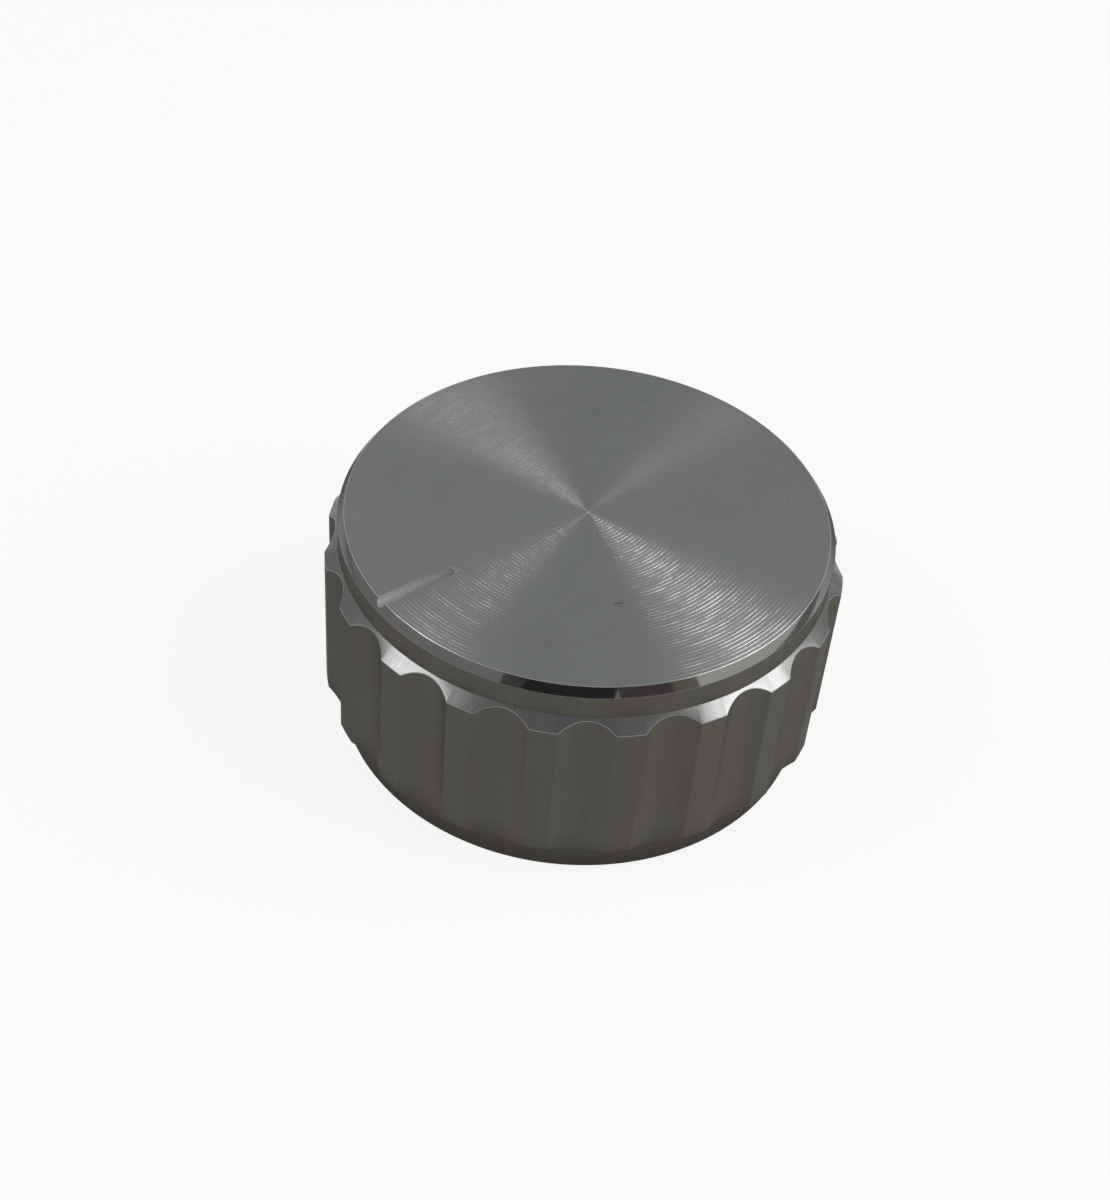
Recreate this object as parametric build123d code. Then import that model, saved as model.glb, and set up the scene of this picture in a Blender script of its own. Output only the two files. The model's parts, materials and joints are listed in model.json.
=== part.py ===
from build123d import *
from math import asin, atan2, cos, pi, radians, sin, sqrt, tan
import os

# Control knob, turned from one bar of aluminium, with the set screw that clamps it to its shaft.
# Millimetres. +Z points up along the shaft, the origin is the centre of the foot's flat underside,
# the indicator line points to +Y and the set screw comes in from -Y.

# Turned outline
grip_diameter = 40.0
overall_height = 19.5
face_chamfer_width = 0.5
face_chamfer_drop = 0.7
collar_diameter = 38.0
collar_height = 1.9
shoulder_drop = 0.9
foot_diameter = 37.5
foot_height = 2.5
lower_chamfer_height = 0.9
foot_edge_break = 0.3

# Scalloped grip
flute_count = 20
flute_depth = 0.8
land_width = 2.1

# Indicator line, one pass of a ball-nosed tool that sinks on its way out over the rim
line_width = 0.9
line_length = 6.2
line_inner_depth = 0.16
line_rim_depth = 0.42

# Underside: counterbore over the nut of the control, and the blind bore for its shaft
nut_recess_diameter = 17.0
nut_recess_depth = 5.0
nut_recess_break = 0.3
shaft_diameter = 6.0
shaft_clearance = 0.04
bore_mouth_break = 0.3
crown_thickness = 2.2
drill_point_angle = 118.0

# Set screw and its tapped cross hole
thread_diameter = 3.0
thread_clearance = 0.02
screw_length = 6.0
screw_tip_gap = 0.2
screw_end_break = 0.35
cup_diameter = 1.5
cup_depth = 0.5
socket_across_flats = 1.5
socket_depth = 2.2
hole_mouth_break = 0.3

# How far a cutting tool runs past the face that it opens
overrun = 1.0

# Worked out from the sizes above
grip_radius = grip_diameter / 2
collar_radius = collar_diameter / 2
face_radius = collar_radius - face_chamfer_width
foot_radius = foot_diameter / 2
chamfer_z = overall_height - face_chamfer_drop
collar_z = chamfer_z - collar_height
shoulder_z = collar_z - shoulder_drop
grip_base_z = foot_height + lower_chamfer_height
flute_floor_radius = grip_radius - flute_depth

bore_radius = shaft_diameter / 2 + shaft_clearance
drill_point_height = bore_radius / tan(radians(drill_point_angle / 2))
bore_top_z = overall_height - crown_thickness - drill_point_height

screw_radius = thread_diameter / 2
tapped_radius = screw_radius + thread_clearance
screw_z = (nut_recess_depth + bore_top_z) / 2
screw_tip_y = -(bore_radius + screw_tip_gap)
screw_end_y = screw_tip_y - screw_length


def turned_blank():
    """Outline from the foot up to the faced top, turned about Z."""
    with BuildPart() as blank:
        with BuildSketch(Plane.XZ):
            with BuildLine():
                Polyline(
                    (0, 0),
                    (foot_radius - foot_edge_break, 0),
                    (foot_radius, foot_edge_break),
                    (foot_radius, foot_height),
                    (grip_radius, grip_base_z),
                    (grip_radius, shoulder_z),
                    (collar_radius, collar_z),
                    (collar_radius, chamfer_z),
                    (face_radius, overall_height),
                    (0, overall_height),
                    close=True,
                )
            make_face()
        revolve(axis=Axis.Z)
    return blank.part


def flute_cutter():
    """Round tool that leaves one land between each two flutes, and where its axis stands."""
    half_angle = pi / flute_count - asin(land_width / 2 / grip_radius)
    half_chord = grip_radius * sin(half_angle)
    sagitta = grip_radius * cos(half_angle) - flute_floor_radius
    tool_radius = (half_chord**2 + sagitta**2) / (2 * sagitta)
    return tool_radius, flute_floor_radius + tool_radius


def flutes():
    """Tool passes between the foot and the collar: they scallop the grip and both of its cones."""
    tool_radius, axis_radius = flute_cutter()
    with BuildPart() as passes:
        with Locations((0, 0, foot_height)):
            with PolarLocations(axis_radius, flute_count, start_angle=90):
                Cylinder(
                    tool_radius,
                    collar_z - foot_height,
                    align=(Align.CENTER, Align.CENTER, Align.MIN),
                )
    return passes.part


def indicator_line():
    """Round-bottomed groove with a ball end, which gets deeper and wider on its way over the rim."""
    tool_radius = line_width / 2
    inner_half_width = sqrt(line_inner_depth * (line_width - line_inner_depth))
    inner_y = face_radius - line_length + inner_half_width
    slope = atan2(line_rim_depth - line_inner_depth, face_radius - inner_y)
    run = collar_radius + overrun - inner_y
    tool_path = Plane(
        origin=(0, inner_y, overall_height - line_inner_depth + tool_radius),
        x_dir=(0, cos(slope), -sin(slope)),
        z_dir=(0, sin(slope), cos(slope)),
    )
    with BuildPart(tool_path) as groove:
        Sphere(tool_radius)
        Cylinder(
            tool_radius,
            run,
            rotation=(0, 90, 0),
            align=(Align.CENTER, Align.CENTER, Align.MIN),
        )
        Box(run, line_width, line_rim_depth, align=(Align.MIN, Align.CENTER, Align.MIN))
    return groove.part


def underside():
    """Counterbore and blind bore with its drill point, turned about Z."""
    recess_radius = nut_recess_diameter / 2
    with BuildPart() as hollow:
        with BuildSketch(Plane.XZ):
            with BuildLine():
                Polyline(
                    (0, -overrun),
                    (recess_radius + nut_recess_break + overrun, -overrun),
                    (recess_radius, nut_recess_break),
                    (recess_radius, nut_recess_depth),
                    (bore_radius + bore_mouth_break, nut_recess_depth),
                    (bore_radius, nut_recess_depth + bore_mouth_break),
                    (bore_radius, bore_top_z),
                    (0, bore_top_z + drill_point_height),
                    close=True,
                )
            make_face()
        revolve(axis=Axis.Z)
    return hollow.part


def cross_hole():
    """Tapped hole for the set screw, at its major diameter, with a broken edge in the flute."""
    mouth_y = -(flute_floor_radius - hole_mouth_break)
    with BuildPart() as hole:
        with BuildSketch(Plane.XY):
            with BuildLine():
                Polyline(
                    (0, 0),
                    (tapped_radius, 0),
                    (tapped_radius, mouth_y),
                    (tapped_radius + hole_mouth_break + flute_depth + overrun, -grip_radius - overrun),
                    (0, -grip_radius - overrun),
                    close=True,
                )
            make_face()
        revolve(axis=Axis.Y)
    return Pos(0, 0, screw_z) * hole.part


def knob_body():
    body = turned_blank() - flutes() - indicator_line() - underside() - cross_hole()
    return body


def grub_screw():
    """Set screw with a cup point towards the shaft and a hexagon socket towards the key."""
    cup_radius = cup_diameter / 2
    with BuildPart() as screw:
        with BuildSketch(Plane.XY):
            with BuildLine():
                Polyline(
                    (0, screw_end_y),
                    (screw_radius - screw_end_break, screw_end_y),
                    (screw_radius, screw_end_y + screw_end_break),
                    (screw_radius, screw_tip_y - (screw_radius - cup_radius)),
                    (cup_radius, screw_tip_y),
                    (0, screw_tip_y - cup_depth),
                    close=True,
                )
            make_face()
        revolve(axis=Axis.Y)
        with BuildSketch(Plane.XZ.offset(-screw_end_y)):
            RegularPolygon(socket_across_flats / 2, 6, major_radius=False)
        extrude(amount=-socket_depth, mode=Mode.SUBTRACT)
    return Pos(0, 0, screw_z) * screw.part


os.makedirs("parts", exist_ok=True)
for name, make in {"knob_body": knob_body, "grub_screw": grub_screw}.items():
    export_step(make(), f"parts/{name}.step")
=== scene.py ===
import json
from math import acos, asin, cos, degrees, pi, radians, sin, sqrt, tan

import bmesh
import bpy
from bpy.props import FloatProperty, FloatVectorProperty, IntProperty, PointerProperty
from mathutils import Matrix, Vector


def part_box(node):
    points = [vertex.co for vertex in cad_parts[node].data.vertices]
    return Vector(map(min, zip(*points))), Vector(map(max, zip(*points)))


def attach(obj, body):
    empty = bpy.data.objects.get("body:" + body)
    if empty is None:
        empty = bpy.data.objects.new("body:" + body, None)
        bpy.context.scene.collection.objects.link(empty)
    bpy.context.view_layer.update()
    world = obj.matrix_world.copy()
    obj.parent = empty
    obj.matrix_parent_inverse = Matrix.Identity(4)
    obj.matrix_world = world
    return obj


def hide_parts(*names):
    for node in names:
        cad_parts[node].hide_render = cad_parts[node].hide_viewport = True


bl_info = {
    "name": "Fluted control knob",
    "version": (1, 0, 0),
    "blender": (4, 5, 0),
    "location": "3D View > Sidebar > Knob",
    "description": "Turned and fluted aluminium control knob with its set screw, on a studio floor",
    "category": "Object",
}

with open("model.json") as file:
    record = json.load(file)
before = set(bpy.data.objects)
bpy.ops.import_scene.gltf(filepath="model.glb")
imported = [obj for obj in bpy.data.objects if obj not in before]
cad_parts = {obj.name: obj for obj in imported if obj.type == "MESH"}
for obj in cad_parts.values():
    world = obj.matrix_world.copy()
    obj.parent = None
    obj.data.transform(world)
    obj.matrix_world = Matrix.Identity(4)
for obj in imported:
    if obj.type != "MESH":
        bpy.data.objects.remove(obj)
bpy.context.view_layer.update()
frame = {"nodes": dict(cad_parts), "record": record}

# The frame is in metres. +Z is the shaft's axis, +Y the indicator line, and the set screw comes from -Y.
MM = 0.001
MICRON = 1e-6
BODY_NODE = frame["nodes"]["knob_body"]
BODY_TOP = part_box("knob_body")[1].z
BODY_RADIUS = max(v.co.xy.length for v in BODY_NODE.data.vertices)
SCREW_LOW, SCREW_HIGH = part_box("grub_screw")
SCREW_AXIS_Z = (SCREW_LOW.z + SCREW_HIGH.z) / 2
BORE = next(m for m in frame["record"]["mounts"] if m["name"] == "shaft_bore")
BORE_RADIUS = BORE["dims"]["r_mm"] * MM
BORE_LOW = BORE["pos_m"][2] - BORE["dims"]["length_mm"] * MM / 2
BORE_HIGH = BORE_LOW + BORE["dims"]["length_mm"] * MM

# Finishes of the turned body, in the order of the "finish" numbers on its faces
FACE, CHAMFER, GRIP, SHOULDER, UNDERSIDE = range(5)
FINISHES = ("turned_face", "mirror_chamfer", "satin_grip", "bright_shoulder", "plain_underside")
LAY_UV = "lay"
EDGE_VALUE = "edge"

# Wear and painted light: how much lighter a worn edge is, which is also a painted edge highlight; where the
# painted shade over the foot ends; between which radii the indicator line's floor is painted darker inwards,
# a painted shade and highlight; and the one short scratch on the face
EDGE_WEAR_AND_HIGHLIGHT_LIFT = 1.9
FOOT_SHADE_HEIGHT = 5.0 * MM
LINE_SHADE_RADIUS, LINE_HIGHLIGHT_RADIUS = 12.5 * MM, 18.5 * MM
SCRATCH_PLACE = Vector((-9.29 * MM, 4.21 * MM, BODY_TOP))
SCRATCH_REACH, SCRATCH_HALF_WIDTH = 0.42 * MM, 0.045 * MM
SCRATCH_WANDER, SCRATCH_SHIFT, SCRATCH_GRAIN = 0.35 * MM, 0.17 * MM, 2400.0

# Facets of small round pieces, and the angles over which an edge is drawn crisp
THREAD_ROWS, THREAD_SIDES, CUP_SIDES = 10, 48, 32
BODY_CRISP, SCREW_CRISP = radians(28), radians(32)

# How much of the cup point's radius its hollow takes, and how far its cutter goes on over the tip
CUP_SHARE, CUP_OVERRUN = 0.86, 0.5

# The studio's floor is flat out to FLOOR_RADIUS and then bends up into a low wall
FLOOR_SIDES, BEND_STEPS = 96, 8
FLOOR_RADIUS, BEND_RADIUS, SWEEP_HEIGHT = 2.3, 0.2, 0.25

# Where the floor is whitened: for the lens up to this height, fading out at the wall's top; for metal
# between these distances from the knob, and a little less on the camera's left of it, a painted shade that
# the metal mirrors
LENS_WHITE_TOP = 0.06
METAL_WHITE_NEAR, METAL_WHITE_FAR = 0.07, 0.24
LEFT_EDGE, LEFT_START, LEFT_WHITE = -0.06, -0.01, 0.72

# The studio's walls: azimuth of the bright one from the camera, and where each one blends into the next,
# as cosines from its middle or sines of the height over the horizon
SIDE_WALL_AZIMUTH = radians(72)
SIDE_WALL_BLEND = (0.58, 0.88)
CEILING_BLEND = (sin(radians(38)), sin(radians(62)))
BACKDROP_BLEND = (0.3, 0.6)

# Lamps, by name: degrees to the camera's right and over the horizon, width and height, tint
SOFTBOX_DISTANCE = 0.45
SOFTBOXES = {
    "softbox_right": (87, 41, (0.30, 0.275), (1.0, 0.995, 0.975)),
    "softbox_left": (-71, 40, (0.17, 0.24), (1.0, 1.0, 0.985)),
}

# Cards beside the lens, by name: degrees to the camera's right and over the horizon, width, colour
CARD_DISTANCE, CARD_HEIGHT = 0.28, 0.10
CARDS = {
    "dark_card": (-1.6, 29, 0.177, (0.066, 0.066, 0.074)),
    "step_card": (-22.95, 29, 0.0396, (0.18, 0.195, 0.185)),
    "red_card": (30.65, 29, 0.0983, (0.24, 0.185, 0.205)),
    "brown_card": (45.6, 27, 0.046, (0.40, 0.375, 0.30)),
}

# Width of the camera's sensor, in millimetres
SENSOR_WIDTH = 36.0


def length(name, description, default):
    return FloatProperty(name=name, description=description, default=default, unit="LENGTH", precision=6)


def number(name, description, default, low=0.0):
    return FloatProperty(name=name, description=description, default=default, min=low, precision=4)


def angle(name, description, turn):
    return FloatProperty(name=name, description=description, default=radians(turn), unit="ROTATION")


def colour(name, description, default):
    return FloatVectorProperty(
        name=name, description=description, default=default, subtype="COLOR", size=3, min=0.0, max=1.0
    )


class KnobBodySizes(bpy.types.PropertyGroup):
    """Sizes of the turned body"""

    height: length("Height", "From the foot's underside to the faced top", BODY_TOP)
    grip_radius: length("Grip radius", "Radius over the lands of the grip", BODY_RADIUS)
    chamfer_width: length("Chamfer width", "Radial width of the rim's chamfer", 0.5 * MM)
    chamfer_drop: length("Chamfer drop", "Height of the rim's chamfer", 0.7 * MM)
    collar_radius: length("Collar radius", "Radius of the plain collar", 19.0 * MM)
    collar_height: length("Collar height", "Height of the plain collar", 1.9 * MM)
    shoulder_drop: length("Shoulder drop", "Height of the conical shoulder", 0.9 * MM)
    foot_radius: length("Foot radius", "Radius of the foot ring", 18.75 * MM)
    foot_height: length("Foot height", "Height of the foot ring", 2.5 * MM)
    lower_drop: length("Lower chamfer", "Height of the chamfer under the grip", 0.9 * MM)
    foot_break: length("Foot edge", "Chamfer on the foot's lower edge", 0.3 * MM)
    flute_count: IntProperty(name="Flutes", description="Scallops round the grip", default=20, min=3)
    flute_depth: length("Flute depth", "From the lands to a flute's floor", 0.8 * MM)
    land_width: length("Land width", "Plain width between two flutes", 2.1 * MM)
    edge_round: length("Edge rounding", "How far from an edge its rounding starts", 0.045 * MM)
    recess_radius: length("Recess radius", "Counterbore over the control's nut", 8.5 * MM)
    recess_depth: length("Recess depth", "Depth of the counterbore", 5.0 * MM)
    recess_break: length("Recess edge", "Chamfer on the counterbore's edge", 0.3 * MM)
    drill_angle: angle("Drill point", "Full angle of the drill's point", 118)


class KnobLineSizes(bpy.types.PropertyGroup):
    """Sizes of the indicator line"""

    width: length("Width", "Width of the line in the face", 0.9 * MM)
    length: length("Length", "From the face's rim to the line's inner end", 6.2 * MM)
    inner_depth: length("Inner depth", "Depth at the line's inner end", 0.16 * MM)
    rim_depth: length("Rim depth", "Depth at the face's rim", 0.42 * MM)


class KnobScrewSizes(bpy.types.PropertyGroup):
    """Sizes of the set screw and its tapped hole"""

    pitch: length("Pitch", "Thread pitch", 0.5 * MM)
    thread_depth: length("Thread depth", "Height of the thread's flanks", 0.27 * MM)
    thread_gap: length("Thread gap", "Play between the screw and its hole", 0.02 * MM)
    key_size: length("Key size", "Across the flats of the socket", 1.5 * MM)
    socket_depth: length("Socket depth", "Depth of the hexagon socket", 2.2 * MM)
    cup_radius: length("Cup radius", "Radius of the cup point's rim", 0.75 * MM)
    cup_depth: length("Cup depth", "Depth of the cup point", 0.5 * MM)
    end_break: length("End chamfer", "Chamfer at the key end", 0.35 * MM)
    mouth_break: length("Mouth chamfer", "Chamfer where the hole opens in its flute", 0.3 * MM)


class KnobFinish(bpy.types.PropertyGroup):
    """Colours and surface grain"""

    face: colour("Face", "Faced top", (0.50, 0.515, 0.505))
    chamfer: colour("Chamfer", "Mirror-cut chamfer", (0.29, 0.29, 0.285))
    grip: colour("Grip", "Satin grip, collar and foot", (0.124, 0.107, 0.093))
    stain: colour("Grip stain", "Olive clouds in the grip's coating", (0.101, 0.104, 0.087))
    shoulder: colour("Shoulder", "Bright-cut shoulder", (0.272, 0.274, 0.278))
    underside: colour("Underside", "Turned underside and bore", (0.34, 0.34, 0.33))
    line: colour("Line", "Floor of the indicator line", (0.375, 0.39, 0.387))
    steel: colour("Steel", "Set screw", (0.20, 0.20, 0.205))
    scratch: colour("Scratch", "The short scratch on the face", (0.31, 0.25, 0.22))
    ring_pitch: length("Ring pitch", "Feed of the facing cut", 0.31 * MM)


class KnobStudio(bpy.types.PropertyGroup):
    """Floor, lamps and camera"""

    floor: colour("Floor", "Studio floor", (0.86, 0.86, 0.855))
    floor_white: number("Floor whitening", "How far the floor is whitened for the lens and for metal", 0.88)
    wall: colour("Wall", "Studio's walls above the horizon", (0.385, 0.39, 0.385))
    side_wall: colour("Side wall", "Studio's wall on the camera's right", (0.86, 0.85, 0.81))
    backdrop: colour("Backdrop", "Studio's wall behind the knob", (0.305, 0.315, 0.315))
    ceiling: colour("Ceiling", "Studio's dim ceiling", (0.268, 0.276, 0.284))
    key_radiance: number("Key brightness", "Brightness of the right softbox's face", 3.8)
    fill_radiance: number("Fill brightness", "Brightness of the left softbox's face", 3.1)
    azimuth: angle("Azimuth", "Camera's place round the knob, from -Y", 229.6)
    elevation: angle("Elevation", "Camera's height over the horizon", 40.63)
    roll: angle("Roll", "Camera's turn about its own axis", 5.71)
    pan: angle("Pan", "Camera's turn away from the face's centre", 0.697)
    tilt: angle("Tilt", "Camera's nod away from the face's centre", -2.612)
    distance: length("Distance", "From the camera to the face's centre", 152.0 * MM)
    lens: number("Lens", "Focal length on a 36 mm sensor", 59.9)


def feed(tree, socket, value):
    """Links an input to another node's socket, or sets it to a plain value."""
    if isinstance(value, bpy.types.NodeSocket):
        tree.links.new(value, socket)
    else:
        socket.default_value = value


def identified(sockets, identifier):
    return next(s for s in sockets if s.identifier == identifier)


def wire(tree, kind, inputs=None, **settings):
    """A new node with its settings, and each input either linked or set."""
    node = tree.nodes.new(kind)
    for key, value in settings.items():
        setattr(node, key, value)
    for key, value in (inputs or {}).items():
        feed(tree, node.inputs[key], value)
    return node


def calc(tree, operation, *terms, clamp=False):
    """The result of one Math node."""
    return wire(
        tree, "ShaderNodeMath", dict(enumerate(terms)), operation=operation, use_clamp=clamp
    ).outputs[0]


def vector_calc(tree, operation, first, second=None):
    """The outputs of one Vector Math node, by name."""
    terms = {0: first} if second is None else {0: first, 1: second}
    return wire(tree, "ShaderNodeVectorMath", terms, operation=operation).outputs


def new_group(name, kind, inputs, outputs):
    """An empty node group with named sockets, and its input and output nodes."""
    tree = bpy.data.node_groups.new(name, kind)
    for title, socket, default in inputs:
        made = tree.interface.new_socket(name=title, in_out="INPUT", socket_type=socket)
        if default is not None:
            made.default_value = default
    for title, socket in outputs:
        tree.interface.new_socket(name=title, in_out="OUTPUT", socket_type=socket)
    return tree, tree.nodes.new("NodeGroupInput"), tree.nodes.new("NodeGroupOutput")


def use_group(tree, group, inputs):
    return wire(tree, "ShaderNodeGroup", inputs, node_tree=group)


def noise(tree, detail, scale, **vector):
    """The value of a noise along one number (W), through space (Vector), or both."""
    dimensions = {"W": "1D", "Vector": "3D", "VectorW": "4D"}["".join(sorted(vector))]
    inputs = {"Scale": scale, "Detail": detail, "Roughness": 0.55, **vector}
    return wire(tree, "ShaderNodeTexNoise", inputs, noise_dimensions=dimensions).outputs["Fac"]


def spread(tree, value, low, high, to_low, to_high):
    """value mapped from low..high to to_low..to_high, held at both ends."""
    inputs = {"Value": value, 1: low, 2: high, 3: to_low, 4: to_high}
    return wire(tree, "ShaderNodeMapRange", inputs, clamp=True).outputs["Result"]


def blend_colours(tree, factor, first, second):
    node = wire(tree, "ShaderNodeMix", data_type="RGBA")
    for identifier, value in (("Factor_Float", factor), ("A_Color", first), ("B_Color", second)):
        feed(tree, identified(node.inputs, identifier), value)
    return identified(node.outputs, "Result_Color")


def shade(rgb, factor=1.0):
    return (rgb[0] * factor, rgb[1] * factor, rgb[2] * factor, 1.0)


def tool_rings():
    """Rings that a turning tool leaves: Height of the cut, and Band where the cut is coarser."""
    tree, given, out = new_group(
        "tool_rings",
        "ShaderNodeTree",
        [
            ("Across", "NodeSocketFloat", 0.0),
            ("Pitch", "NodeSocketFloat", 0.3 * MM),
            ("Along", "NodeSocketVector", None),
        ],
        [("Height", "NodeSocketFloat"), ("Band", "NodeSocketFloat")],
    )
    rising_share, wander, grain_share = 0.81, 0.5, 0.2
    wander_scale, patch_scale, grain_scale = 0.6, 0.45, 3.1
    shallow_below, deep_above, shallowest = 0.36, 0.62, 0.4
    turns = calc(tree, "DIVIDE", given.outputs["Across"], given.outputs["Pitch"])
    shift = calc(tree, "MULTIPLY", noise(tree, 2.0, wander_scale, W=turns), wander)
    share = calc(tree, "FRACT", calc(tree, "ADD", turns, shift))
    # Each cut rises slowly outwards and drops steeply, as the tool's nose leaves it
    climb = calc(tree, "DIVIDE", share, rising_share)
    drop = calc(tree, "DIVIDE", calc(tree, "SUBTRACT", 1.0, share), 1.0 - rising_share)
    ridge = calc(tree, "MINIMUM", climb, drop)
    patches = noise(tree, 2.0, patch_scale, W=turns, Vector=given.outputs["Along"])
    band = spread(tree, patches, shallow_below, deep_above, shallowest, 1.0)
    grain = calc(tree, "SUBTRACT", noise(tree, 2.0, grain_scale, W=turns), 0.5)
    cut = calc(tree, "MULTIPLY", ridge, band)
    height = calc(tree, "ADD", cut, calc(tree, "MULTIPLY", grain, grain_share))
    tree.links.new(height, out.inputs["Height"])
    tree.links.new(band, out.inputs["Band"])
    return tree


def handling_marks():
    """Dull cloudy patches and specks from handling and from the anodising bath."""
    tree, given, out = new_group(
        "handling_marks",
        "ShaderNodeTree",
        [("Position", "NodeSocketVector", None)],
        [("Cloud", "NodeSocketFloat"), ("Speck", "NodeSocketFloat")],
    )
    cloud_scale, speck_scale = 170.0, 5200.0
    place = given.outputs["Position"]
    cloud = noise(tree, 4.0, cloud_scale, Vector=place)
    speck = spread(tree, noise(tree, 2.0, speck_scale, Vector=place), 0.70, 0.78, 0.0, 1.0)
    tree.links.new(spread(tree, cloud, 0.3, 0.7, 0.0, 1.0), out.inputs["Cloud"])
    tree.links.new(speck, out.inputs["Speck"])
    return tree


def new_material(name):
    """A material with an empty Principled BSDF, and its tree."""
    material = bpy.data.materials.new(name)
    material.use_nodes = True
    tree = material.node_tree
    return material, tree, tree.nodes["Principled BSDF"]


def radius_of(tree, place):
    flat = vector_calc(tree, "MULTIPLY", place, (1, 1, 0))["Vector"]
    return vector_calc(tree, "LENGTH", flat)["Value"]


def height_of(tree, place):
    return wire(tree, "ShaderNodeSeparateXYZ", {0: place}).outputs["Z"]


def along_cut(tree, place, upright):
    """Slow coordinates along a cut: up the wall, or round the knob."""
    patches_up, patches_round = 1 / (2.5 * MM), 13.0
    if upright:
        plain, patch = vector_calc(tree, "MULTIPLY", place, (0, 0, 1))["Vector"], patches_up
    else:
        flat = vector_calc(tree, "MULTIPLY", place, (1, 1, 0))["Vector"]
        plain, patch = vector_calc(tree, "NORMALIZE", flat)["Vector"], patches_round
    return wire(tree, "ShaderNodeVectorMath", {0: plain, "Scale": patch}, operation="SCALE").outputs[0]


def fed_across(tree, place, across):
    """How far a point lies in the direction that the tool fed in: radius, height or around."""
    if across == "radius":
        return radius_of(tree, place)
    if across == "height":
        return height_of(tree, place)
    lay = wire(tree, "ShaderNodeUVMap", uv_map=LAY_UV).outputs[0]
    return wire(tree, "ShaderNodeSeparateXYZ", {0: lay}).outputs["Y"]


def scratch(tree, place):
    """1 on the face's short scratch, which runs round the knob's axis, and 0 elsewhere."""
    away = vector_calc(tree, "DISTANCE", place, SCRATCH_PLACE)["Value"]
    near = spread(tree, away, SCRATCH_REACH * 0.6, SCRATCH_REACH, 1.0, 0.0)
    ragged = calc(tree, "MULTIPLY", noise(tree, 2.0, SCRATCH_GRAIN, Vector=place), SCRATCH_WANDER)
    out = calc(tree, "ADD", radius_of(tree, place), ragged)
    off = calc(tree, "ABSOLUTE", calc(tree, "SUBTRACT", out, SCRATCH_PLACE.xy.length + SCRATCH_SHIFT))
    on_line = spread(tree, off, SCRATCH_HALF_WIDTH, SCRATCH_HALF_WIDTH * 2, 1.0, 0.0)
    return calc(tree, "MULTIPLY", near, on_line)


def metal_tone(tree, place, cloudy, rgb, cloud, stain, worn, foot, inner, scratched):
    """Colour of a metal: its clouds, its lighter edges, which are wear and a painted edge highlight, the
    painted shade here and there, and its scratch.

    foot is how much colour the painted shade leaves at the foot, and inner how much the painted shade
    leaves at the line's inner end."""
    tone = blend_colours(tree, cloudy, shade(rgb, 1 - cloud), shade(stain or rgb, 1 + cloud))
    edge = wire(tree, "ShaderNodeAttribute", attribute_name=EDGE_VALUE).outputs["Fac"]
    # Rounded edges are lighter: partly wear, partly a painted edge highlight
    tone = blend_colours(tree, calc(tree, "MULTIPLY", edge, worn), tone, shade(rgb, EDGE_WEAR_AND_HIGHLIGHT_LIFT))
    # Painted shade: darker towards the foot, where the floor's shadow would be mirrored
    if foot < 1.0:
        low = spread(tree, height_of(tree, place), 0.0, FOOT_SHADE_HEIGHT, 1.0, 0.0)
        tone = blend_colours(tree, low, tone, shade(rgb, foot))
    # Painted shade and highlight: the line's floor is darker at its inner end and lighter towards the rim
    if inner < 1.0:
        line_shade = spread(tree, radius_of(tree, place), LINE_SHADE_RADIUS, LINE_HIGHLIGHT_RADIUS, 1.0, 0.0)
        tone = blend_colours(tree, line_shade, tone, shade(rgb, inner))
    if scratched:
        tone = blend_colours(tree, scratch(tree, place), tone, shade(scratched))
    return tone


def finish_metal(
    name, rgb, groups, across, pitch, cut_depth, roughness, anisotropy=0.0, metallic=1.0, grazing=1.0,
    cloud=0.06, stain=None, worn=0.28, foot=1.0, inner=1.0, scratched=None,
):
    """Machined metal. across names the direction that the tool fed in: radius, height or around.

    grazing is how much of a grazing reflection is kept, and stain the colour of the clouds."""
    band_change, speck_dulls = 0.06, 0.08
    _, tree, shader = new_material(name)
    place = wire(tree, "ShaderNodeTexCoord").outputs["Object"]
    upright = across == "around"
    distance, along = fed_across(tree, place, across), along_cut(tree, place, upright)
    rings = use_group(tree, groups["tool_rings"], {"Across": distance, "Pitch": pitch, "Along": along})
    # Marks on the upright walls are drawn out up the wall
    stretch = (1.7, 1.7, 0.2) if upright else (1, 1, 1)
    streaks = vector_calc(tree, "MULTIPLY", place, stretch)["Vector"]
    marks = use_group(tree, groups["handling_marks"], {"Position": streaks})
    cloudy = marks.outputs["Cloud"]
    tone = metal_tone(tree, place, cloudy, rgb, cloud, stain, worn, foot, inner, scratched)
    smooth, rough = roughness * (1 - band_change), roughness * (1 + band_change)
    dull = spread(tree, rings.outputs["Band"], 0.0, 1.0, smooth, rough)
    dull = calc(tree, "ADD", dull, calc(tree, "MULTIPLY", marks.outputs["Speck"], speck_dulls))
    bump = wire(tree, "ShaderNodeBump", {"Height": rings.outputs["Height"], "Distance": cut_depth})
    looks = {
        "Base Color": tone,
        "Roughness": dull,
        "Normal": bump.outputs["Normal"],
        "Metallic": metallic,
        "Anisotropic": anisotropy,
        "Specular Tint": (grazing, grazing, grazing, 1.0),
    }
    if anisotropy:
        lay = wire(tree, "ShaderNodeTangent", direction_type="UV_MAP", uv_map=LAY_UV)
        looks["Tangent"] = lay.outputs["Tangent"]
    for key, value in looks.items():
        feed(tree, shader.inputs[key], value)


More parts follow.
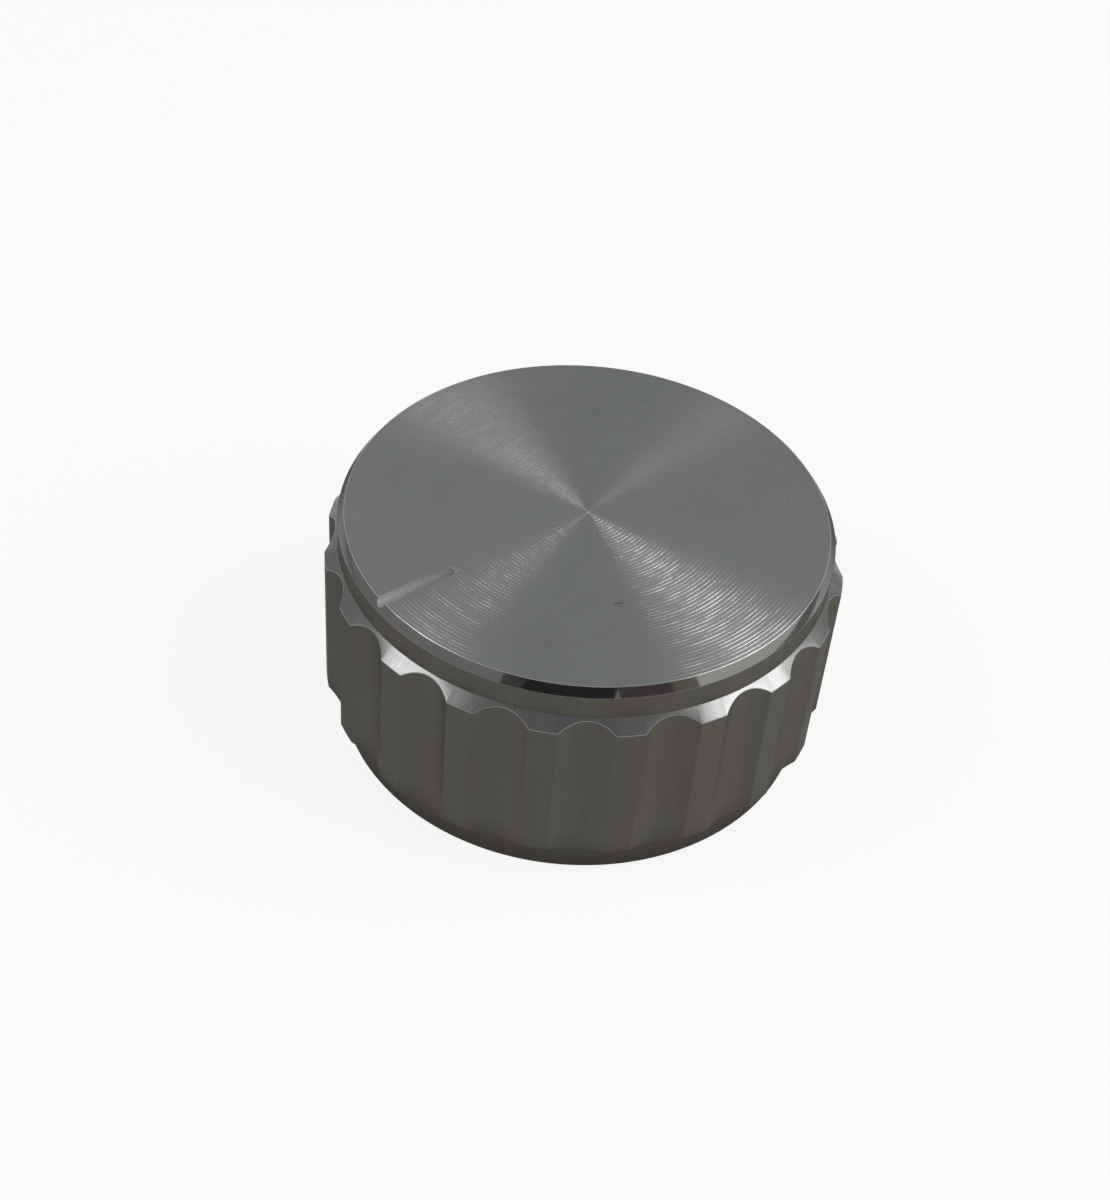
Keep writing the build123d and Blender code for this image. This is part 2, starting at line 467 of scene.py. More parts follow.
def make_materials(finish):
    """Every finish of the knob. A cut's pitch is in millimetres and its depth in micrometres."""
    groups = {g.name: g for g in (tool_rings(), handling_marks())}

    def metal(name, rgb, across, pitch, cut_depth, roughness, **more):
        finish_metal(name, rgb, groups, across, pitch * MM, cut_depth * MICRON, roughness, **more)

    # The face's rim is lightened strongly: a painted edge highlight as well as wear
    metal(
        "turned_face", finish.face, "radius", pitch=finish.ring_pitch / MM, cut_depth=28.0,
        roughness=0.283, anisotropy=0.95, cloud=0.03, worn=0.85, scratched=finish.scratch,
    )
    metal(
        "mirror_chamfer", finish.chamfer, "height", pitch=0.08, cut_depth=0.05,
        roughness=0.07, anisotropy=0.3, grazing=0.25, cloud=0.02,
    )
    # The grip is painted darker towards its foot, a painted shade
    metal(
        "satin_grip", finish.grip, "around", pitch=0.3, cut_depth=6.0, roughness=0.45, anisotropy=0.7,
        metallic=0.75, grazing=0.35, cloud=0.08, stain=finish.stain, worn=0.0, foot=0.42,
    )
    metal(
        "bright_shoulder", finish.shoulder, "height", pitch=0.12, cut_depth=1.8,
        roughness=0.27, anisotropy=0.6, cloud=0.03,
    )
    metal(
        "plain_underside", finish.underside, "radius", pitch=0.2, cut_depth=3.0,
        roughness=0.34, anisotropy=0.6,
    )
    # The line's floor is painted darker towards its inner end, a painted shade and highlight
    metal(
        "line_floor", finish.line, "radius", pitch=0.12, cut_depth=1.5,
        roughness=0.75, metallic=0.3, cloud=0.05, inner=0.58,
    )
    metal("screw_steel", finish.steel, "radius", pitch=0.1, cut_depth=0.6, roughness=0.33)


def bake(obj):
    """Turns the object's modifiers into its own mesh."""
    graph = bpy.context.evaluated_depsgraph_get()
    mesh = bpy.data.meshes.new_from_object(obj.evaluated_get(graph), depsgraph=graph)
    obj.modifiers.clear()
    obj.data = mesh
    return obj


def show(mesh, name):
    obj = bpy.data.objects.new(name, mesh)
    bpy.context.scene.collection.objects.link(obj)
    return obj


def corner_curve(start, corner, end, steps):
    """Points of a short curve that takes a corner off."""
    shares = [k / steps for k in range(steps + 1)]
    return [start * (1 - t) ** 2 + corner * (2 * t * (1 - t)) + end * t**2 for t in shares]


def rounded(corner, before, after, reach, steps):
    """The curve at a corner, from the run before it to the run after."""
    start = corner + (before - corner).normalized() * reach
    end = corner + (after - corner).normalized() * reach
    return corner_curve(start, corner, end, steps)


def sector_outline(sizes, arc_steps=16):
    """Plan of one flute and half a land on each side, as points about the flute's middle (+X)."""
    pitch = 2 * pi / sizes.flute_count
    half = pitch / 2 - asin(sizes.land_width / 2 / sizes.grip_radius)
    floor = sizes.grip_radius - sizes.flute_depth
    chord, rise = sizes.grip_radius * sin(half), sizes.grip_radius * cos(half) - floor
    tool = (chord**2 + rise**2) / (2 * rise)
    sweep = asin(chord / tool)
    back = sizes.edge_round * 1.5
    land_end = half + back / sizes.grip_radius
    arc_end = sweep - back / tool

    def on_land(turn):
        return Vector((cos(turn), sin(turn))) * sizes.grip_radius

    def in_flute(turn):
        return Vector((floor + tool - tool * cos(turn), tool * sin(turn)))

    points = [(on_land(pitch / 2), 0.0), (on_land((pitch / 2 + land_end) / 2), 0.0)]
    steps = 4
    curve = corner_curve(on_land(land_end), on_land(half), in_flute(arc_end), steps)
    for k, place in enumerate(curve):
        points.append((place, 1 - abs(2 * k / steps - 1)))
    for k in range(1, arc_steps // 2):
        points.append((in_flute(arc_end * (1 - 2 * k / arc_steps)), 0.0))
    lower = [(Vector((p.x, -p.y)), edge) for p, edge in points]
    return lower + [(Vector((floor, 0.0)), 0.0)] + points[::-1]


def profile(sizes, outline):
    """Section from the top's centre round to the end of the bore, where the outline is that far out.

    Each point is (radius and height, finish of the strip that starts there, share of edge, on the wall)."""
    s, fine = sizes, sizes.edge_round
    crisp, soft = fine * 0.5, fine * 1.6
    chamfer_z = s.height - s.chamfer_drop
    collar_z = chamfer_z - s.collar_height
    shoulder = s.shoulder_drop / (s.grip_radius - s.collar_radius)
    lower = s.lower_drop / (s.grip_radius - s.foot_radius)
    drill_z = BORE_HIGH + BORE_RADIUS / tan(s.drill_angle / 2)
    mouth = BORE_LOW - s.recess_depth
    corners = [
        (0.0, s.height, 0.0, 0, FACE, 14),
        (s.collar_radius - s.chamfer_width, s.height, fine * 0.9, 4, CHAMFER, 1),
        (s.collar_radius, chamfer_z, crisp, 4, GRIP, 1),
        (s.collar_radius, collar_z, fine, 3, SHOULDER, 1),
        (outline, collar_z - (outline - s.collar_radius) * shoulder, fine, 4, GRIP, 3),
        (outline, s.foot_height + (outline - s.foot_radius) * lower, fine, 4, GRIP, 1),
        (s.foot_radius, s.foot_height, fine, 2, GRIP, 1),
        (s.foot_radius, s.foot_break, soft, 2, GRIP, 1),
        (s.foot_radius - s.foot_break, 0.0, soft, 2, UNDERSIDE, 3),
        (s.recess_radius + s.recess_break, 0.0, soft, 2, UNDERSIDE, 1),
        (s.recess_radius, s.recess_break, soft, 2, UNDERSIDE, 1),
        (s.recess_radius, s.recess_depth, soft, 2, UNDERSIDE, 2),
        (BORE_RADIUS + mouth, s.recess_depth, fine, 2, UNDERSIDE, 1),
        (BORE_RADIUS, BORE_LOW, fine, 2, UNDERSIDE, 2),
        (BORE_RADIUS, BORE_HIGH, fine, 2, UNDERSIDE, 2),
        (0.0, drill_z, 0.0, 0, UNDERSIDE, 1),
    ]
    # Places in that list of the face's rim and of the grip's upper and lower edges
    face_rim, grip_top, grip_foot = 1, 4, 5
    places = [Vector(c[:2]) for c in corners]
    bends = [
        rounded(places[i], places[i - 1], places[i + 1], c[2], c[3]) if c[3] else [places[i]]
        for i, c in enumerate(corners)
    ]
    points = []
    for i, bend in enumerate(bends):
        last = len(bend) - 1
        for k, place in enumerate(bend):
            # The bends at the rim and at the grip's top keep the finish above them all the way round
            before = last and (2 * k < last or (i in (face_rim, grip_top) and k < last))
            finish = corners[i - 1][4] if before else corners[i][4]
            on_wall = i in (grip_top, grip_foot) and 0 < (k if i == grip_top else last - k)
            points.append((place, finish, 1 - abs(2 * k / last - 1) if last else 0.0, on_wall))
        if i + 1 < len(bends):
            spans = corners[i][5]
            for k in range(1, spans):
                points.append((bend[-1].lerp(bends[i + 1][0], k / spans), corners[i][4], 0.0, i == grip_top))
    return points


def build_sector(sizes):
    """Mesh of one flute's share of the body, from the top's centre round to the end of the bore."""
    bm = bmesh.new()
    uv = bm.loops.layers.uv.new(LAY_UV)
    finish_layer = bm.faces.layers.int.new("finish")
    edge_layer = bm.verts.layers.float.new(EDGE_VALUE)
    columns, around, previous = [], 0.0, None
    shared = {}
    for place, outline_edge in sector_outline(sizes):
        turn = place.normalized()
        around += (place - previous).length if previous else 0.0
        previous = place
        column, down, last = [], 0.0, None
        for point, finish, edge, on_wall in profile(sizes, place.length):
            down += (point - last).length if last else 0.0
            last = point
            if point.x < MICRON:
                vert = shared.setdefault(len(column), None) or bm.verts.new((0, 0, point.y))
                shared[len(column)] = vert
            else:
                vert = bm.verts.new((turn.x * point.x, turn.y * point.x, point.y))
            vert[edge_layer] = max(edge, outline_edge if on_wall else 0.0)
            column.append((vert, finish, (down, around)))
        columns.append(column)
    for left, right in zip(columns, columns[1:]):
        for j in range(len(left) - 1):
            loop = [left[j], left[j + 1], right[j + 1], right[j]]
            if left[j][0] is right[j][0]:
                loop = loop[:3]
            if left[j + 1][0] is right[j + 1][0]:
                loop = [left[j], left[j + 1], right[j]]
            face = bm.faces.new([corner[0] for corner in loop])
            face[finish_layer] = left[j][1]
            face.smooth = True
            for corner, (_, _, place) in zip(face.loops, loop):
                corner[uv].uv = place
    mesh = bpy.data.meshes.new("flute_sector")
    bm.to_mesh(mesh)
    bm.free()
    return mesh


def flute_ring_tree(materials):
    """Repeats one sector round +Z, welds it into one body and gives each face its finish."""
    inputs = [
        ("Geometry", "NodeSocketGeometry", None),
        ("Flutes", "NodeSocketInt", 20),
        ("First flute", "NodeSocketFloat", pi / 2),
        ("Weld distance", "NodeSocketFloat", 2 * MICRON),
    ]
    outputs = [("Geometry", "NodeSocketGeometry")]
    tree, given, out = new_group("flute_ring", "GeometryNodeTree", inputs, outputs)
    points = wire(tree, "GeometryNodePoints", {"Count": given.outputs["Flutes"]})
    step = calc(tree, "DIVIDE", 2 * pi, given.outputs["Flutes"])
    turn = calc(tree, "MULTIPLY", wire(tree, "GeometryNodeInputIndex").outputs[0], step)
    euler = wire(tree, "ShaderNodeCombineXYZ", {"Z": calc(tree, "ADD", turn, given.outputs["First flute"])})
    rotation = wire(tree, "FunctionNodeEulerToRotation", {0: euler.outputs[0]})
    copies = wire(
        tree,
        "GeometryNodeInstanceOnPoints",
        {"Points": points.outputs[0], "Instance": given.outputs["Geometry"], "Rotation": rotation.outputs[0]},
    )
    real = wire(tree, "GeometryNodeRealizeInstances", {0: copies.outputs[0]})
    last = wire(
        tree,
        "GeometryNodeMergeByDistance",
        {"Geometry": real.outputs[0], "Distance": given.outputs["Weld distance"]},
    ).outputs[0]
    mark = wire(tree, "GeometryNodeInputNamedAttribute", {"Name": "finish"}, data_type="INT").outputs[0]
    for k, name in enumerate(FINISHES):
        same = wire(tree, "FunctionNodeCompare", data_type="INT", operation="EQUAL")
        feed(tree, identified(same.inputs, "A_INT"), mark)
        feed(tree, identified(same.inputs, "B_INT"), k)
        last = wire(
            tree,
            "GeometryNodeSetMaterial",
            {"Geometry": last, "Selection": same.outputs[0], "Material": materials[name]},
        ).outputs[0]
    tree.links.new(last, out.inputs["Geometry"])
    return tree


def threaded_rod_tree():
    """Rod along Y with a thread cut round it, in place: the same helix gives the screw and its hole."""
    inputs = [
        ("Geometry", "NodeSocketGeometry", None),
        ("Radius", "NodeSocketFloat", 1.5 * MM),
        ("Thread depth", "NodeSocketFloat", 0.27 * MM),
        ("Pitch", "NodeSocketFloat", 0.5 * MM),
        ("Start", "NodeSocketFloat", 0.0),
        ("Length", "NodeSocketFloat", 6.0 * MM),
        ("Axis height", "NodeSocketFloat", 0.0),
        ("Start radius", "NodeSocketFloat", 1.5 * MM),
        ("End radius", "NodeSocketFloat", 1.5 * MM),
        ("Rows", "NodeSocketInt", 100),
        ("Sides", "NodeSocketInt", THREAD_SIDES),
        ("Material", "NodeSocketMaterial", None),
    ]
    outputs = [("Geometry", "NodeSocketGeometry")]
    tree, given, out = new_group("threaded_rod", "GeometryNodeTree", inputs, outputs)
    get = given.outputs
    steepness, crest, weld = 2.6, 0.15, 0.5 * MICRON
    grid = wire(
        tree,
        "GeometryNodeMeshGrid",
        {
            "Size X": 1.0,
            "Size Y": 1.0,
            "Vertices X": calc(tree, "ADD", get["Sides"], 1.0),
            "Vertices Y": calc(tree, "ADD", get["Rows"], 1.0),
        },
    )
    place = wire(tree, "ShaderNodeSeparateXYZ", {0: wire(tree, "GeometryNodeInputPosition").outputs[0]})
    share = calc(tree, "ADD", place.outputs["X"], 0.5)
    row = calc(tree, "MULTIPLY", calc(tree, "ADD", place.outputs["Y"], 0.5), get["Rows"])
    # The first and last rows close the rod's ends on its axis, the rows beside them are the end edges
    inner_rows = calc(tree, "SUBTRACT", get["Rows"], 2.0)
    along = calc(tree, "DIVIDE", calc(tree, "SUBTRACT", row, 1.0), inner_rows, clamp=True)
    run = calc(tree, "MULTIPLY", along, get["Length"])
    y = calc(tree, "ADD", run, get["Start"])
    phase = calc(tree, "FRACT", calc(tree, "SUBTRACT", calc(tree, "DIVIDE", y, get["Pitch"]), share))
    slope = calc(tree, "MULTIPLY", calc(tree, "ABSOLUTE", calc(tree, "SUBTRACT", phase, 0.5)), steepness)
    flank = calc(tree, "SUBTRACT", slope, crest, clamp=True)
    thread = calc(tree, "SUBTRACT", get["Radius"], calc(tree, "MULTIPLY", flank, get["Thread depth"]))
    start_cone = calc(tree, "ADD", get["Start radius"], run)
    end_cone = calc(tree, "ADD", get["End radius"], calc(tree, "SUBTRACT", get["Length"], run))
    radius = calc(tree, "MINIMUM", thread, calc(tree, "MINIMUM", start_cone, end_cone))
    opened = calc(tree, "GREATER_THAN", row, 0.5)
    closed = calc(tree, "LESS_THAN", row, calc(tree, "SUBTRACT", get["Rows"], 0.5))
    radius = calc(tree, "MULTIPLY", radius, calc(tree, "MULTIPLY", opened, closed))
    turn = calc(tree, "MULTIPLY", share, 2 * pi)
    across = calc(tree, "MULTIPLY", radius, calc(tree, "COSINE", turn))
    above = calc(tree, "MULTIPLY", radius, calc(tree, "SINE", turn))
    above = calc(tree, "ADD", above, get["Axis height"])
    target = wire(tree, "ShaderNodeCombineXYZ", {"X": across, "Y": y, "Z": above}).outputs[0]
    rod = wire(tree, "GeometryNodeSetPosition", {"Geometry": grid.outputs[0], "Position": target}).outputs[0]
    rod = wire(tree, "GeometryNodeMergeByDistance", {"Geometry": rod, "Distance": weld}).outputs[0]
    rod = wire(tree, "GeometryNodeRealizeInstances", {0: rod}).outputs[0]
    rod = wire(tree, "GeometryNodeSetMaterial", {"Geometry": rod, "Material": get["Material"]}).outputs[0]
    tree.links.new(rod, out.inputs["Geometry"])
    return tree


def grow(obj, tree, values):
    """Runs a geometry tree on the object with named input values, and keeps the plain mesh."""
    modifier = obj.modifiers.new(tree.name, "NODES")
    modifier.node_group = tree
    for socket in tree.interface.items_tree:
        if socket.in_out == "INPUT" and socket.name in values:
            modifier[socket.identifier] = values[socket.name]
    return bake(obj)


def face_outwards(mesh, weld=0.0):
    """Turns every face outwards, once points that lie closer than weld are joined."""
    bm = bmesh.new()
    bm.from_mesh(mesh)
    if weld:
        bmesh.ops.remove_doubles(bm, verts=bm.verts, dist=weld)
    bmesh.ops.recalc_face_normals(bm, faces=bm.faces)
    bm.to_mesh(mesh)
    bm.free()


def new_mesh(name, verts, faces, material):
    mesh = bpy.data.meshes.new(name)
    mesh.from_pydata(verts, [], faces)
    mesh.materials.append(material)
    return mesh


def solid(name, verts, faces, material, weld=0.0):
    mesh = new_mesh(name, verts, faces, material)
    face_outwards(mesh, weld)
    return show(mesh, name)


def line_section(tool, lip, top, depth):
    """Half of a round-bottomed groove's section where it is that deep, up to its softened lip."""
    arc_steps, lip_steps = 8, 4
    turn = acos(1 - min((depth - lip) / tool, 1.0))
    turns = [turn * k / arc_steps for k in range(arc_steps + 1)]
    points = [(tool * sin(t), top - depth + tool * (1 - cos(t))) for t in turns]
    mouth = points[-1][0]
    below, corner, outside = Vector((mouth, top - lip)), Vector((mouth, top)), Vector((mouth + lip, top))
    points += [tuple(place) for place in corner_curve(below, corner, outside, lip_steps)]
    return points + [(mouth + lip * 1.5, top + tool)]


def line_cutter(sizes, line, material):
    """Groove with a ball end, which gets deeper and wider on its way out over the rim."""
    run_steps, end_steps = 12, 16
    tool = line.width / 2
    face_radius = sizes.collar_radius - sizes.chamfer_width
    inner = face_radius - line.length + sqrt(line.inner_depth * (line.width - line.inner_depth))
    outer = sizes.collar_radius + line.width
    slope = (line.rim_depth - line.inner_depth) / (face_radius - inner)
    run = [inner + (outer - inner) * k / run_steps for k in range(run_steps, 0, -1)]
    places = [(0.0, y) for y in run] + [(pi * k / end_steps, inner) for k in range(end_steps + 1)]
    places += [(pi, y) for y in reversed(run)]
    verts = []
    for turn, y in places:
        section = line_section(tool, sizes.edge_round, sizes.height, line.inner_depth + slope * (y - inner))
        verts += [(out * cos(turn), y - out * sin(turn), z) for out, z in section]
    rows = len(section)
    faces = []
    for c in range(len(places) - 1):
        for j in range(c * rows, (c + 1) * rows - 1):
            faces.append((j, j + 1, j + rows + 1, j + rows))
    last = (len(places) - 1) * rows
    faces.append([c * rows + rows - 1 for c in range(len(places))])
    faces.append(list(range(rows)) + list(range(last + rows - 1, last - 1, -1)))
    return solid("line_cutter", verts, faces, material, weld=0.2 * MICRON)


def cone_cutter(name, y_wide, wide, y_narrow, narrow, sides, material, turn=0.0):
    """Cutter round the set screw's axis, from one radius to another."""
    turns = [turn + 2 * pi * k / sides for k in range(sides)]
    verts = [(wide * cos(t), y_wide, SCREW_AXIS_Z + wide * sin(t)) for t in turns]
    verts += [(narrow * cos(t), y_narrow, SCREW_AXIS_Z + narrow * sin(t)) for t in turns]
    faces = [(k, (k + 1) % sides, sides + (k + 1) % sides, sides + k) for k in range(sides)]
    faces += [list(range(sides)), list(range(2 * sides - 1, sides - 1, -1))]
    return solid(name, verts, faces, material)


def carve(obj, cutters):
    """Cuts each cutter out of the object, in turn, and removes it."""
    for cutter in cutters:
        cut = obj.modifiers.new(cutter.name, "BOOLEAN")
        cut.operation = "DIFFERENCE"
        cut.solver = "EXACT"
        cut.material_mode = "TRANSFER"
        cut.object = cutter
    bake(obj)
    for cutter in cutters:
        bpy.data.objects.remove(cutter)
    return obj


def finish_shading(obj, crisp):
    """Smooth faces with crisp edges, and flats that stay flat beside their rounded edges."""
    obj.data.shade_smooth()
    obj.data.set_sharp_from_angle(angle=crisp)
    weigh = obj.modifiers.new("flat_faces", "WEIGHTED_NORMAL")
    weigh.mode = "FACE_AREA"
    weigh.keep_sharp = True
    return bake(obj)


def threaded_rod(name, screw, radius, start, end, start_radius, end_radius, material):
    """A threaded rod from start to end along Y, on the set screw's axis."""
    obj = show(bpy.data.meshes.new(name), name)
    turns = (end - start) / screw.pitch
    values = {
        "Radius": radius,
        "Thread depth": screw.thread_depth,
        "Pitch": screw.pitch,
        "Start": start,
        "Length": end - start,
        "Axis height": SCREW_AXIS_Z,
        "Start radius": start_radius,
        "End radius": end_radius,
        "Rows": int(turns * THREAD_ROWS) + 2,
        "Sides": THREAD_SIDES,
        "Material": material,
    }
    tree = bpy.data.node_groups.get("threaded_rod") or threaded_rod_tree()
    grow(obj, tree, values)
    face_outwards(obj.data)
    return obj


class KNOB_OT_body(bpy.types.Operator):
    """Turn and flute the body, engrave its line and tap its cross hole"""

    bl_idname = "knob.body"
    bl_label = "Knob body"

    def execute(self, context):
        scene = context.scene
        sizes, line, screw = scene.knob_body, scene.knob_line, scene.knob_screw
        materials = {name: bpy.data.materials[name] for name in (*FINISHES, "line_floor")}
        body = show(build_sector(sizes), "knob_body_finished")
        grow(body, flute_ring_tree(materials), {"Flutes": sizes.flute_count})
        tapped = SCREW_HIGH.x + screw.thread_gap
        floor = sizes.grip_radius - sizes.flute_depth
        outside = sizes.grip_radius + screw.mouth_break
        mouth_y = -(floor - screw.mouth_break)
        wide = tapped + outside + mouth_y
        underside = materials["plain_underside"]
        tap = threaded_rod("tap", screw, tapped, -outside, -SCREW_HIGH.x, tapped, tapped, underside)
        mouth = cone_cutter("mouth_cutter", -outside, wide, mouth_y, tapped, THREAD_SIDES, underside)
        carve(body, [line_cutter(sizes, line, materials["line_floor"]), mouth, tap])
        finish_shading(body, BODY_CRISP)
        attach(body, "root")
        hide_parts("knob_body")
        return {"FINISHED"}


class KNOB_OT_set_screw(bpy.types.Operator):
    """Cut the set screw's thread, cup point and hexagon socket"""

    bl_idname = "knob.set_screw"
    bl_label = "Set screw"

    def execute(self, context):
        screw = context.scene.knob_screw
        steel = bpy.data.materials["screw_steel"]
        key_end, tip = SCREW_LOW.y, SCREW_HIGH.y
        key_radius = SCREW_HIGH.x - screw.end_break
        body = threaded_rod(
            "set_screw", screw, SCREW_HIGH.x, key_end, tip, key_radius, screw.cup_radius, steel
        )
        across = screw.key_size / 2 / cos(pi / 6)
        past = key_end - screw.end_break
        bottom = key_end + screw.socket_depth
        socket = cone_cutter("socket_cutter", past, across, bottom, across, 6, steel, pi / 6)
        lip = tip + screw.cup_depth * CUP_OVERRUN
        wide = screw.cup_radius * CUP_SHARE * (1 + CUP_OVERRUN)
        cup = cone_cutter("cup_cutter", lip, wide, tip - screw.cup_depth, MICRON, CUP_SIDES, steel)
        carve(body, [socket, cup])
        finish_shading(body, SCREW_CRISP)
        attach(body, "root")
        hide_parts("grub_screw")
        return {"FINISHED"}


class KNOB_OT_finishes(bpy.types.Operator):
    """Make the knob's metal finishes"""

    bl_idname = "knob.finishes"
    bl_label = "Finishes"

    def execute(self, context):
        make_materials(context.scene.knob_finish)
        return {"FINISHED"}


def studio_point(studio, azimuth, elevation, distance):
    """A place round the knob: degrees to the camera's right and over the horizon, and metres."""
    a, e = studio.azimuth + radians(azimuth), radians(elevation)
    back = Vector((sin(a) * cos(e), -cos(a) * cos(e), sin(e)))
    return back * distance, (-back).to_track_quat("-Z", "Y").to_matrix()


def softbox(studio, name, radiance):
    """A rectangular lamp that faces the knob."""
    azimuth, elevation, size, tint = SOFTBOXES[name]
    lamp = bpy.data.lights.new(name, "AREA")
    lamp.shape = "RECTANGLE"
    lamp.size, lamp.size_y = size
    lamp.energy = radiance * pi * size[0] * size[1]
    lamp.color = tint
    obj = show(lamp, name)
    place, aim = studio_point(studio, azimuth, elevation, SOFTBOX_DISTANCE)
    obj.matrix_world = Matrix.Translation(place) @ aim.to_4x4()


def card(studio, name):
    """A mottled card beside the lens, which the chamfer mirrors. The camera itself doesn't see it."""
    azimuth, elevation, width, rgb = CARDS[name]
    place, aim = studio_point(studio, azimuth, elevation, CARD_DISTANCE)
    corners = [(-1, -1), (1, -1), (1, 1), (-1, 1)]
    verts = [place + aim @ Vector((x * width / 2, y * CARD_HEIGHT / 2, 0)) for x, y in corners]
    material, tree, shader = new_material(name)
    mottle_scale, change = 34.0, 0.2
    mottle = noise(tree, 3.0, mottle_scale, Vector=wire(tree, "ShaderNodeTexCoord").outputs["Object"])
    mottle = spread(tree, mottle, 0.35, 0.65, 0.0, 1.0)
    tone = blend_colours(tree, mottle, shade(rgb, 1 - change), shade(rgb, 1 + change))
    feed(tree, shader.inputs["Base Color"], tone)
    feed(tree, shader.inputs["Roughness"], 0.9)
    obj = show(new_mesh(name, verts, [(0, 1, 2, 3)], material), name)
    obj.visible_camera = False


def sweep_mesh(name, material):
    """A wide round floor that bends up into a low wall, far from the knob."""
    rises = [pi / 2 * k / BEND_STEPS for k in range(BEND_STEPS + 1)]
    rows = [(FLOOR_RADIUS + BEND_RADIUS * sin(t), BEND_RADIUS * (1 - cos(t))) for t in rises]
    rows = [(FLOOR_RADIUS - BEND_RADIUS, 0.0), *rows, (FLOOR_RADIUS + BEND_RADIUS, SWEEP_HEIGHT)]
    turns = [2 * pi * k / FLOOR_SIDES for k in range(FLOOR_SIDES)]
    verts = [(out * cos(t), out * sin(t), up) for out, up in rows for t in turns]
    faces = [tuple(range(FLOOR_SIDES))]
    for row in range(len(rows) - 1):
        low, high = row * FLOOR_SIDES, (row + 1) * FLOOR_SIDES
        for k in range(FLOOR_SIDES):
            beside = (k + 1) % FLOOR_SIDES
            faces.append((low + k, high + k, high + beside, low + beside))
    mesh = new_mesh(name, verts, faces, material)
    mesh.shade_smooth()
    return mesh


def seen_white(tree, place, studio):
    """Where the floor is whitened: for the lens below the wall's top, and for metal near the knob, less on
    the camera's left as a painted shade that the metal mirrors.
    """
    path = wire(tree, "ShaderNodeLightPath").outputs
    below = spread(tree, height_of(tree, place), LENS_WHITE_TOP, SWEEP_HEIGHT, 1.0, 0.0)
    direct = calc(tree, "MULTIPLY", path["Is Camera Ray"], below)
    mirrored = calc(tree, "ADD", path["Is Glossy Ray"], path["Is Transmission Ray"], clamp=True)
    nearby = spread(tree, radius_of(tree, place), METAL_WHITE_NEAR, METAL_WHITE_FAR, 1.0, 0.0)
    to_right = (cos(studio.azimuth), sin(studio.azimuth), 0.0)
    side = vector_calc(tree, "DOT_PRODUCT", place, to_right)["Value"]
    # Painted shade: metal sees the floor on the camera's left whitened less
    nearby = calc(tree, "MULTIPLY", nearby, spread(tree, side, LEFT_EDGE, LEFT_START, LEFT_WHITE, 1.0))
    seen = calc(tree, "ADD", direct, calc(tree, "MULTIPLY", mirrored, nearby), clamp=True)
    return calc(tree, "MULTIPLY", seen, studio.floor_white)


def lay_floor(studio):
    """The floor that the knob stands on. Lens and metal see it whitened, with the knob's shadow."""
    material, tree, shader = new_material("pale_floor")
    place = wire(tree, "ShaderNodeTexCoord").outputs["Object"]
    mottle_scale, change = 60.0, 0.01
    mottle = noise(tree, 3.0, mottle_scale, Vector=place)
    tone = blend_colours(tree, mottle, shade(studio.floor, 1 - change), shade(studio.floor, 1 + change))
    for key, value in {"Base Color": tone, "Roughness": 0.85, "Specular IOR Level": 0.2}.items():
        feed(tree, shader.inputs[key], value)
    white = wire(tree, "ShaderNodeEmission", {"Color": (1, 1, 1, 1), "Strength": 1.0})
    shown = {0: seen_white(tree, place, studio), 1: shader.outputs[0], 2: white.outputs[0]}
    lit = wire(tree, "ShaderNodeMixShader", shown)
    tree.links.new(lit.outputs[0], tree.nodes["Material Output"].inputs["Surface"])
    show(sweep_mesh("studio_floor", material), "studio_floor")


def light_surround(studio):
    """Surroundings: plain walls that end in a dim ceiling, and an even backdrop behind the knob."""
    world = bpy.data.worlds.new("studio_surround")
    world.use_nodes = True
    tree = world.node_tree
    heading = wire(tree, "ShaderNodeTexCoord").outputs["Generated"]
    bright_side = studio.azimuth + SIDE_WALL_AZIMUTH
    to_side = (sin(bright_side), -cos(bright_side), 0.0)
    side = vector_calc(tree, "DOT_PRODUCT", heading, to_side)["Value"]
    side = spread(tree, side, *SIDE_WALL_BLEND, 0.0, 1.0)
    tone = blend_colours(tree, side, shade(studio.wall), shade(studio.side_wall))
    rise = spread(tree, height_of(tree, heading), *CEILING_BLEND, 0.0, 1.0)
    tone = blend_colours(tree, rise, tone, shade(studio.ceiling))
    away = (-sin(studio.azimuth), cos(studio.azimuth), 0.0)
    behind = vector_calc(tree, "DOT_PRODUCT", heading, away)["Value"]
    behind = spread(tree, behind, *BACKDROP_BLEND, 0.0, 1.0)
    tone = blend_colours(tree, behind, tone, shade(studio.backdrop))
    tree.links.new(tone, tree.nodes["Background"].inputs["Color"])
    bpy.context.scene.world = world


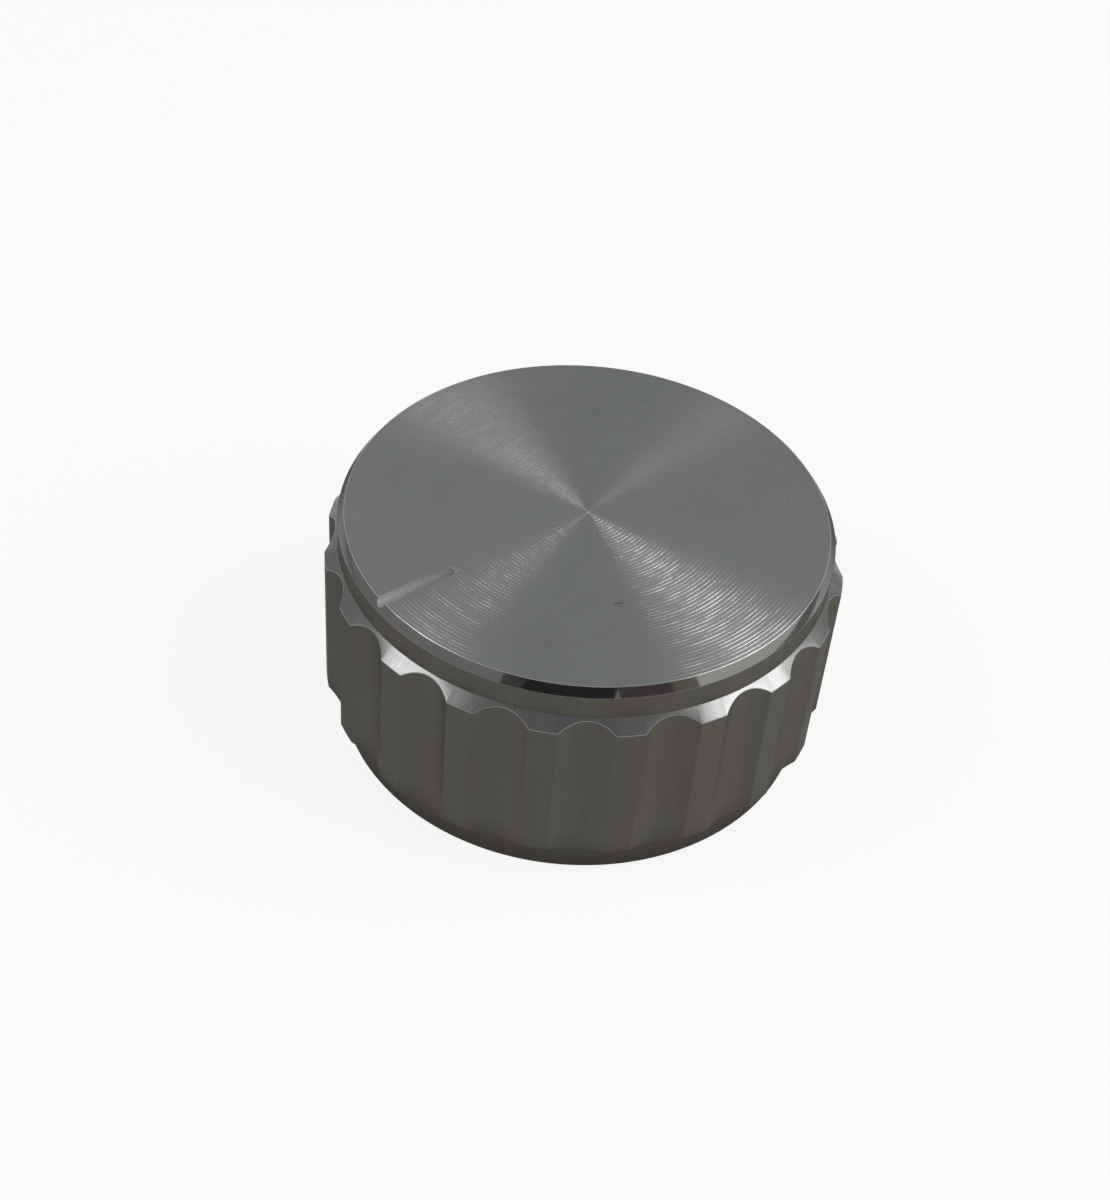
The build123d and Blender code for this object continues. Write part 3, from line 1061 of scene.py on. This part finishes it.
def place_camera(studio):
    data = bpy.data.cameras.new("studio_camera")
    data.sensor_width = SENSOR_WIDTH
    data.lens = studio.lens
    data.clip_start = MM
    data.dof.use_dof = False
    camera = show(data, "studio_camera")
    target = Vector((0, 0, BODY_TOP))
    back, aim = studio_point(studio, 0.0, degrees(studio.elevation), studio.distance)
    turn = Matrix.Rotation(studio.pan, 3, "Y") @ Matrix.Rotation(studio.tilt, 3, "X")
    turn = turn @ Matrix.Rotation(studio.roll, 3, "Z")
    camera.matrix_world = Matrix.Translation(target + back) @ (aim @ turn).to_4x4()
    bpy.context.scene.camera = camera


class KNOB_OT_stage(bpy.types.Operator):
    """Lay the floor, hang the lamps and place the camera"""

    bl_idname = "knob.stage"
    bl_label = "Studio"

    def execute(self, context):
        studio = context.scene.knob_studio
        lay_floor(studio)
        light_surround(studio)
        softbox(studio, "softbox_right", studio.key_radiance)
        softbox(studio, "softbox_left", studio.fill_radiance)
        for name in CARDS:
            card(studio, name)
        place_camera(studio)
        context.scene.view_settings.view_transform = "Standard"
        return {"FINISHED"}


OPERATORS = (KNOB_OT_finishes, KNOB_OT_body, KNOB_OT_set_screw, KNOB_OT_stage)


class KNOB_PT_panel(bpy.types.Panel):
    """The knob's pieces, sizes and finishes"""

    bl_idname = "KNOB_PT_panel"
    bl_label = "Control knob"
    bl_space_type = "VIEW_3D"
    bl_region_type = "UI"
    bl_category = "Knob"

    def draw(self, context):
        layout = self.layout
        for operator in OPERATORS:
            layout.operator(operator.bl_idname)
        for name in GROUPS:
            values = getattr(context.scene, name)
            box = layout.box()
            box.label(text=values.bl_rna.description)
            for key in values.__annotations__:
                box.prop(values, key)


GROUPS = {
    "knob_body": KnobBodySizes,
    "knob_line": KnobLineSizes,
    "knob_screw": KnobScrewSizes,
    "knob_finish": KnobFinish,
    "knob_studio": KnobStudio,
}
CLASSES = (*GROUPS.values(), *OPERATORS, KNOB_PT_panel)


def register():
    for cls in CLASSES:
        bpy.utils.register_class(cls)
    for name, cls in GROUPS.items():
        setattr(bpy.types.Scene, name, PointerProperty(type=cls))


def unregister():
    for name in GROUPS:
        delattr(bpy.types.Scene, name)
    for cls in reversed(CLASSES):
        bpy.utils.unregister_class(cls)


def main():
    register()
    bpy.ops.knob.finishes()
    bpy.ops.knob.body()
    bpy.ops.knob.set_screw()
    bpy.ops.knob.stage()


if __name__ == "__main__":
    main()
